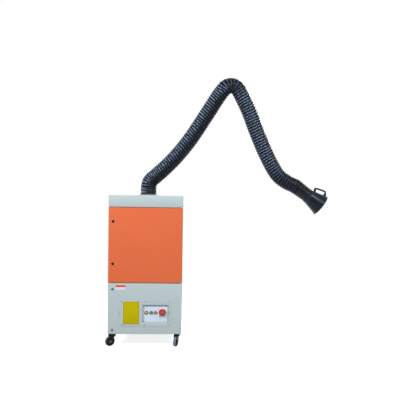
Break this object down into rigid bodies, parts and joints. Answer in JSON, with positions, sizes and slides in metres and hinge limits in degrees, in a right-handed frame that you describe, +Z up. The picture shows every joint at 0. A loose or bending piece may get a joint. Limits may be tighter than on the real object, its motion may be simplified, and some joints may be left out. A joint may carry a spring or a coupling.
{
  "type": "mobile welding fume extractor",
  "caption": "Wheeled sheet-metal filter cabinet with hinged front doors, a recessed control panel and a jointed ribbed hose arm that ends in a swivelling suction hood.",
  "frame": {"origin": "centre of the cabinet's plan, on the underside of the base pan, between the castors", "axes": "+Z up; the doors face -Y; the arm reaches towards +X at rest"},
  "size_m": [2.0476, 0.6377, 2.4564],
  "materials": {
    "pale_paint": "satin",
    "orange_paint": "satin",
    "black_paint": "matte",
    "zinc_plate": "satin",
    "bare_aluminium": "satin",
    "motor_housing": "satin",
    "lock_chrome": "polished",
    "black_plastic": "matte",
    "wheel_rubber": "matte",
    "seal_rubber": "matte",
    "coated_hose": "satin",
    "filter_media": "matte",
    "control_panel": "satin",
    "amber_lens": "gloss",
    "green_cap": "gloss",
    "red_cap": "gloss",
    "yellow_plate": "satin",
    "crimson_knob": "satin"
  },
  "bodies": {
    "cabinet": {"base_pan": "pale_paint", "top_cover": "pale_paint", "left_side_panel": "pale_paint", "right_side_panel": "pale_paint", "rear_panel": "pale_paint", "front_frame": "pale_paint", "partition_plate": "zinc_plate", "spark_arrestor": "zinc_plate", "prefilter": "filter_media", "main_filter": "filter_media", "fan_housing": "zinc_plate", "fan_motor": "motor_housing", "castor_plate_front_left": "zinc_plate", "castor_plate_front_right": "zinc_plate", "castor_plate_rear_left": "zinc_plate", "castor_plate_rear_right": "zinc_plate", "inlet_flange": "pale_paint", "cable_gland": "black_plastic"},
    "fan_rotor": {"fan_impeller": "bare_aluminium"},
    "swivel_front_left": {"castor_fork_front_left": "black_plastic"},
    "swivel_front_right": {"castor_fork_front_right": "black_plastic"},
    "swivel_rear_left": {"castor_fork_rear_left": "black_plastic"},
    "swivel_rear_right": {"castor_fork_rear_right": "black_plastic"},
    "wheel_front_left": {"castor_wheel_front_left": "wheel_rubber"},
    "wheel_front_right": {"castor_wheel_front_right": "wheel_rubber"},
    "wheel_rear_left": {"castor_wheel_rear_left": "wheel_rubber"},
    "wheel_rear_right": {"castor_wheel_rear_right": "wheel_rubber"},
    "filter_door": {"filter_door": "orange_paint", "filter_door_seal": "seal_rubber", "filter_door_lock_top": "black_plastic", "filter_door_lock_bottom": "black_plastic"},
    "filter_cam_top": {"filter_door_cam_top": "black_plastic"},
    "filter_cam_bottom": {"filter_door_cam_bottom": "black_plastic"},
    "service_door": {"service_door": "pale_paint", "service_door_seal": "seal_rubber", "service_door_lock_top": "lock_chrome", "service_door_lock_bottom": "lock_chrome", "access_plate": "pale_paint", "control_plate": "control_panel", "amber_lamp": "amber_lens", "button_bezels": "black_plastic", "isolator_plate": "yellow_plate"},
    "service_cam_top": {"service_door_cam_top": "lock_chrome"},
    "service_cam_bottom": {"service_door_cam_bottom": "lock_chrome"},
    "green_button": {"green_button": "green_cap"},
    "red_button": {"red_button": "red_cap"},
    "isolator_knob": {"isolator_knob": "crimson_knob"},
    "turret": {"swivel_collar": "black_plastic", "hose_shoulder_bend": "coated_hose"},
    "lower_arm": {"lower_link": "bare_aluminium", "elbow_bolt": "zinc_plate", "hose_lower_run": "coated_hose", "hose_elbow_bend": "coated_hose"},
    "upper_arm": {"upper_link": "bare_aluminium", "wrist_bolt": "zinc_plate", "hose_upper_run": "coated_hose", "hose_wrist_bend": "coated_hose"},
    "hood_neck": {"hood_neck": "black_paint"},
    "hood": {"hood_cone": "black_paint", "hood_handle": "black_plastic"}
  },
  "joints": [
    {"name": "fan_spin", "type": "hinge", "parent": "cabinet", "child": "fan_rotor", "pos_m": [-0.02, -0.02, 0.3377], "axis": [0, 0, 1], "continuous": true},
    {"name": "castor_swivel_front_left", "type": "hinge", "parent": "cabinet", "child": "swivel_front_left", "pos_m": [-0.286, -0.2237, 0], "axis": [0, 0, 1], "continuous": true},
    {"name": "castor_swivel_front_right", "type": "hinge", "parent": "cabinet", "child": "swivel_front_right", "pos_m": [0.286, -0.2237, 0], "axis": [0, 0, 1], "continuous": true},
    {"name": "castor_swivel_rear_left", "type": "hinge", "parent": "cabinet", "child": "swivel_rear_left", "pos_m": [-0.286, 0.254, 0], "axis": [0, 0, 1], "continuous": true},
    {"name": "castor_swivel_rear_right", "type": "hinge", "parent": "cabinet", "child": "swivel_rear_right", "pos_m": [0.286, 0.254, 0], "axis": [0, 0, 1], "continuous": true},
    {"name": "castor_roll_front_left", "type": "hinge", "parent": "swivel_front_left", "child": "wheel_front_left", "pos_m": [-0.31025, -0.2377, -0.0755], "axis": [0.5, -0.866, 0], "continuous": true},
    {"name": "castor_roll_front_right", "type": "hinge", "parent": "swivel_front_right", "child": "wheel_front_right", "pos_m": [0.27642, -0.25001, -0.0755], "axis": [0.9397, -0.342, 0], "continuous": true},
    {"name": "castor_roll_rear_left", "type": "hinge", "parent": "swivel_rear_left", "child": "wheel_rear_left", "pos_m": [-0.31231, 0.24442, -0.0755], "axis": [0.342, -0.9397, 0], "continuous": true},
    {"name": "castor_roll_rear_right", "type": "hinge", "parent": "swivel_rear_right", "child": "wheel_rear_right", "pos_m": [0.26994, 0.23106, -0.0755], "axis": [0.8192, -0.5736, 0], "continuous": true},
    {"name": "filter_door_hinge", "type": "hinge", "parent": "cabinet", "child": "filter_door", "pos_m": [0.313, -0.289, 0.4566], "axis": [0, 0, 1], "range_deg": [0, 110]},
    {"name": "filter_cam_top_turn", "type": "hinge", "parent": "filter_door", "child": "filter_cam_top", "pos_m": [-0.2835, -0.3, 0.9946], "axis": [0, 1, 0], "range_deg": [0, 90]},
    {"name": "filter_cam_bottom_turn", "type": "hinge", "parent": "filter_door", "child": "filter_cam_bottom", "pos_m": [-0.2835, -0.3, 0.62361], "axis": [0, -1, 0], "range_deg": [0, 90]},
    {"name": "service_door_hinge", "type": "hinge", "parent": "cabinet", "child": "service_door", "pos_m": [0.313, -0.289, 0.0037], "axis": [0, 0, 1], "range_deg": [0, 110]},
    {"name": "service_cam_top_turn", "type": "hinge", "parent": "service_door", "child": "service_cam_top", "pos_m": [-0.2835, -0.3, 0.40221], "axis": [0, 1, 0], "range_deg": [0, 90]},
    {"name": "service_cam_bottom_turn", "type": "hinge", "parent": "service_door", "child": "service_cam_bottom", "pos_m": [-0.2835, -0.3, 0.0422], "axis": [0, -1, 0], "range_deg": [0, 90]},
    {"name": "green_button_press", "type": "slide", "parent": "service_door", "child": "green_button", "axis": [0, 1, 0], "range_m": [0, 0.0035], "stiffness_N_per_m": 400, "springref_m": -0.002},
    {"name": "red_button_press", "type": "slide", "parent": "service_door", "child": "red_button", "axis": [0, 1, 0], "range_m": [0, 0.0035], "stiffness_N_per_m": 400, "springref_m": -0.002},
    {"name": "isolator_turn", "type": "hinge", "parent": "service_door", "child": "isolator_knob", "pos_m": [0.156, -0.2841, 0.19187], "axis": [0, 1, 0], "range_deg": [0, 90]},
    {"name": "arm_swivel", "type": "hinge", "parent": "cabinet", "child": "turret", "pos_m": [0, 0, 1.225], "axis": [0, 0, 1], "continuous": true},
    {"name": "shoulder", "type": "hinge", "parent": "turret", "child": "lower_arm", "pos_m": [0, 0, 1.35], "axis": [0, -1, 0], "range_deg": [-35, 45], "deforming": ["hose_shoulder_bend"]},
    {"name": "elbow", "type": "hinge", "parent": "lower_arm", "child": "upper_arm", "pos_m": [0.7644, 0, 2.245], "axis": [0, -1, 0], "range_deg": [-10, 79], "deforming": ["hose_elbow_bend"]},
    {"name": "wrist", "type": "hinge", "parent": "upper_arm", "child": "hood_neck", "pos_m": [1.24039, 0, 1.435], "axis": [0, -1, 0], "range_deg": [-75, 70], "deforming": ["hose_wrist_bend"]},
    {"name": "hood_rotate", "type": "hinge", "parent": "hood_neck", "child": "hood", "pos_m": [1.51718, 0, 1.23756], "axis": [0.8141, 0, -0.5807], "continuous": true}
  ]
}
